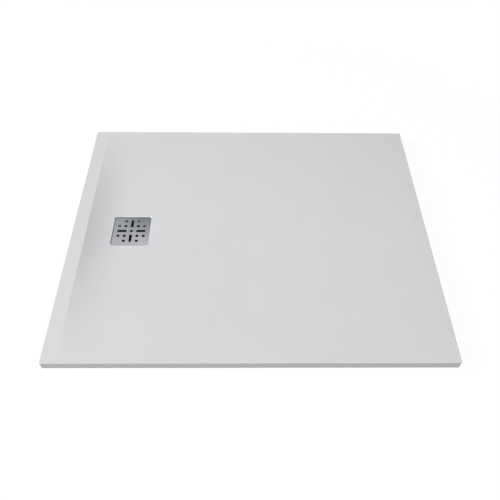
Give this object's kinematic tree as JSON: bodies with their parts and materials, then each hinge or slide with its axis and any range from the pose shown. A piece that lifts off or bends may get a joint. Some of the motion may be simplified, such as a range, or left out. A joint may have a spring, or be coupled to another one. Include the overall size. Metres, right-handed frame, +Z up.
{
  "type": "shower tray",
  "caption": "Low rectangular shower tray in pale mineral resin with a falling floor, a square perforated drain cover, a lift-out strainer and dip tube, and a low trap with a swivel outlet.",
  "frame": {"origin": "centre of the tray's flat underside; the waste trap hangs below it", "axes": "+Z up, +X along the long side away from the drain, +Y to the back"},
  "size_m": [1.2, 1, 0.128],
  "materials": {
    "tray_resin": "matte",
    "stainless": "satin",
    "rubber": "matte",
    "black_plastic": "satin",
    "white_plastic": "satin",
    "brass": "satin"
  },
  "bodies": {
    "root": {"tray": "tray_resin", "upper_gasket": "rubber", "lower_gasket": "rubber", "waste_flange": "black_plastic", "flange_screws": "stainless", "screw_inserts": "brass", "trap_body": "white_plastic", "trap_base": "white_plastic", "ball_seal": "rubber", "ball_friction_ring": "black_plastic", "ball_nut": "white_plastic"},
    "cover": {"drain_cover": "stainless", "cover_feet": "rubber"},
    "strainer": {"hair_strainer": "black_plastic"},
    "dip": {"dip_tube": "white_plastic", "dip_tube_seal": "rubber"},
    "outlet": {"outlet_tail": "white_plastic", "outlet_washer": "rubber", "outlet_nut": "white_plastic"}
  },
  "joints": [
    {"name": "cover_lift", "type": "slide", "parent": "root", "child": "cover", "axis": [0, 0, 1], "range_m": [0, 0.24]},
    {"name": "strainer_lift", "type": "slide", "parent": "root", "child": "strainer", "axis": [0, 0, 1], "range_m": [0, 0.18]},
    {"name": "dip_tube_lift", "type": "slide", "parent": "root", "child": "dip", "axis": [0, 0, 1], "range_m": [0, 0.12]},
    {"name": "outlet_swivel", "type": "hinge", "parent": "root", "child": "outlet", "pos_m": [-0.47902, 0, -0.041], "axis": [0, 0, 1], "range_deg": [-8, 8]}
  ],
  "couplings": [
    {"joint": "strainer_lift", "follows": "cover_lift", "ratio": 0.75},
    {"joint": "dip_tube_lift", "follows": "cover_lift", "ratio": 0.5}
  ]
}
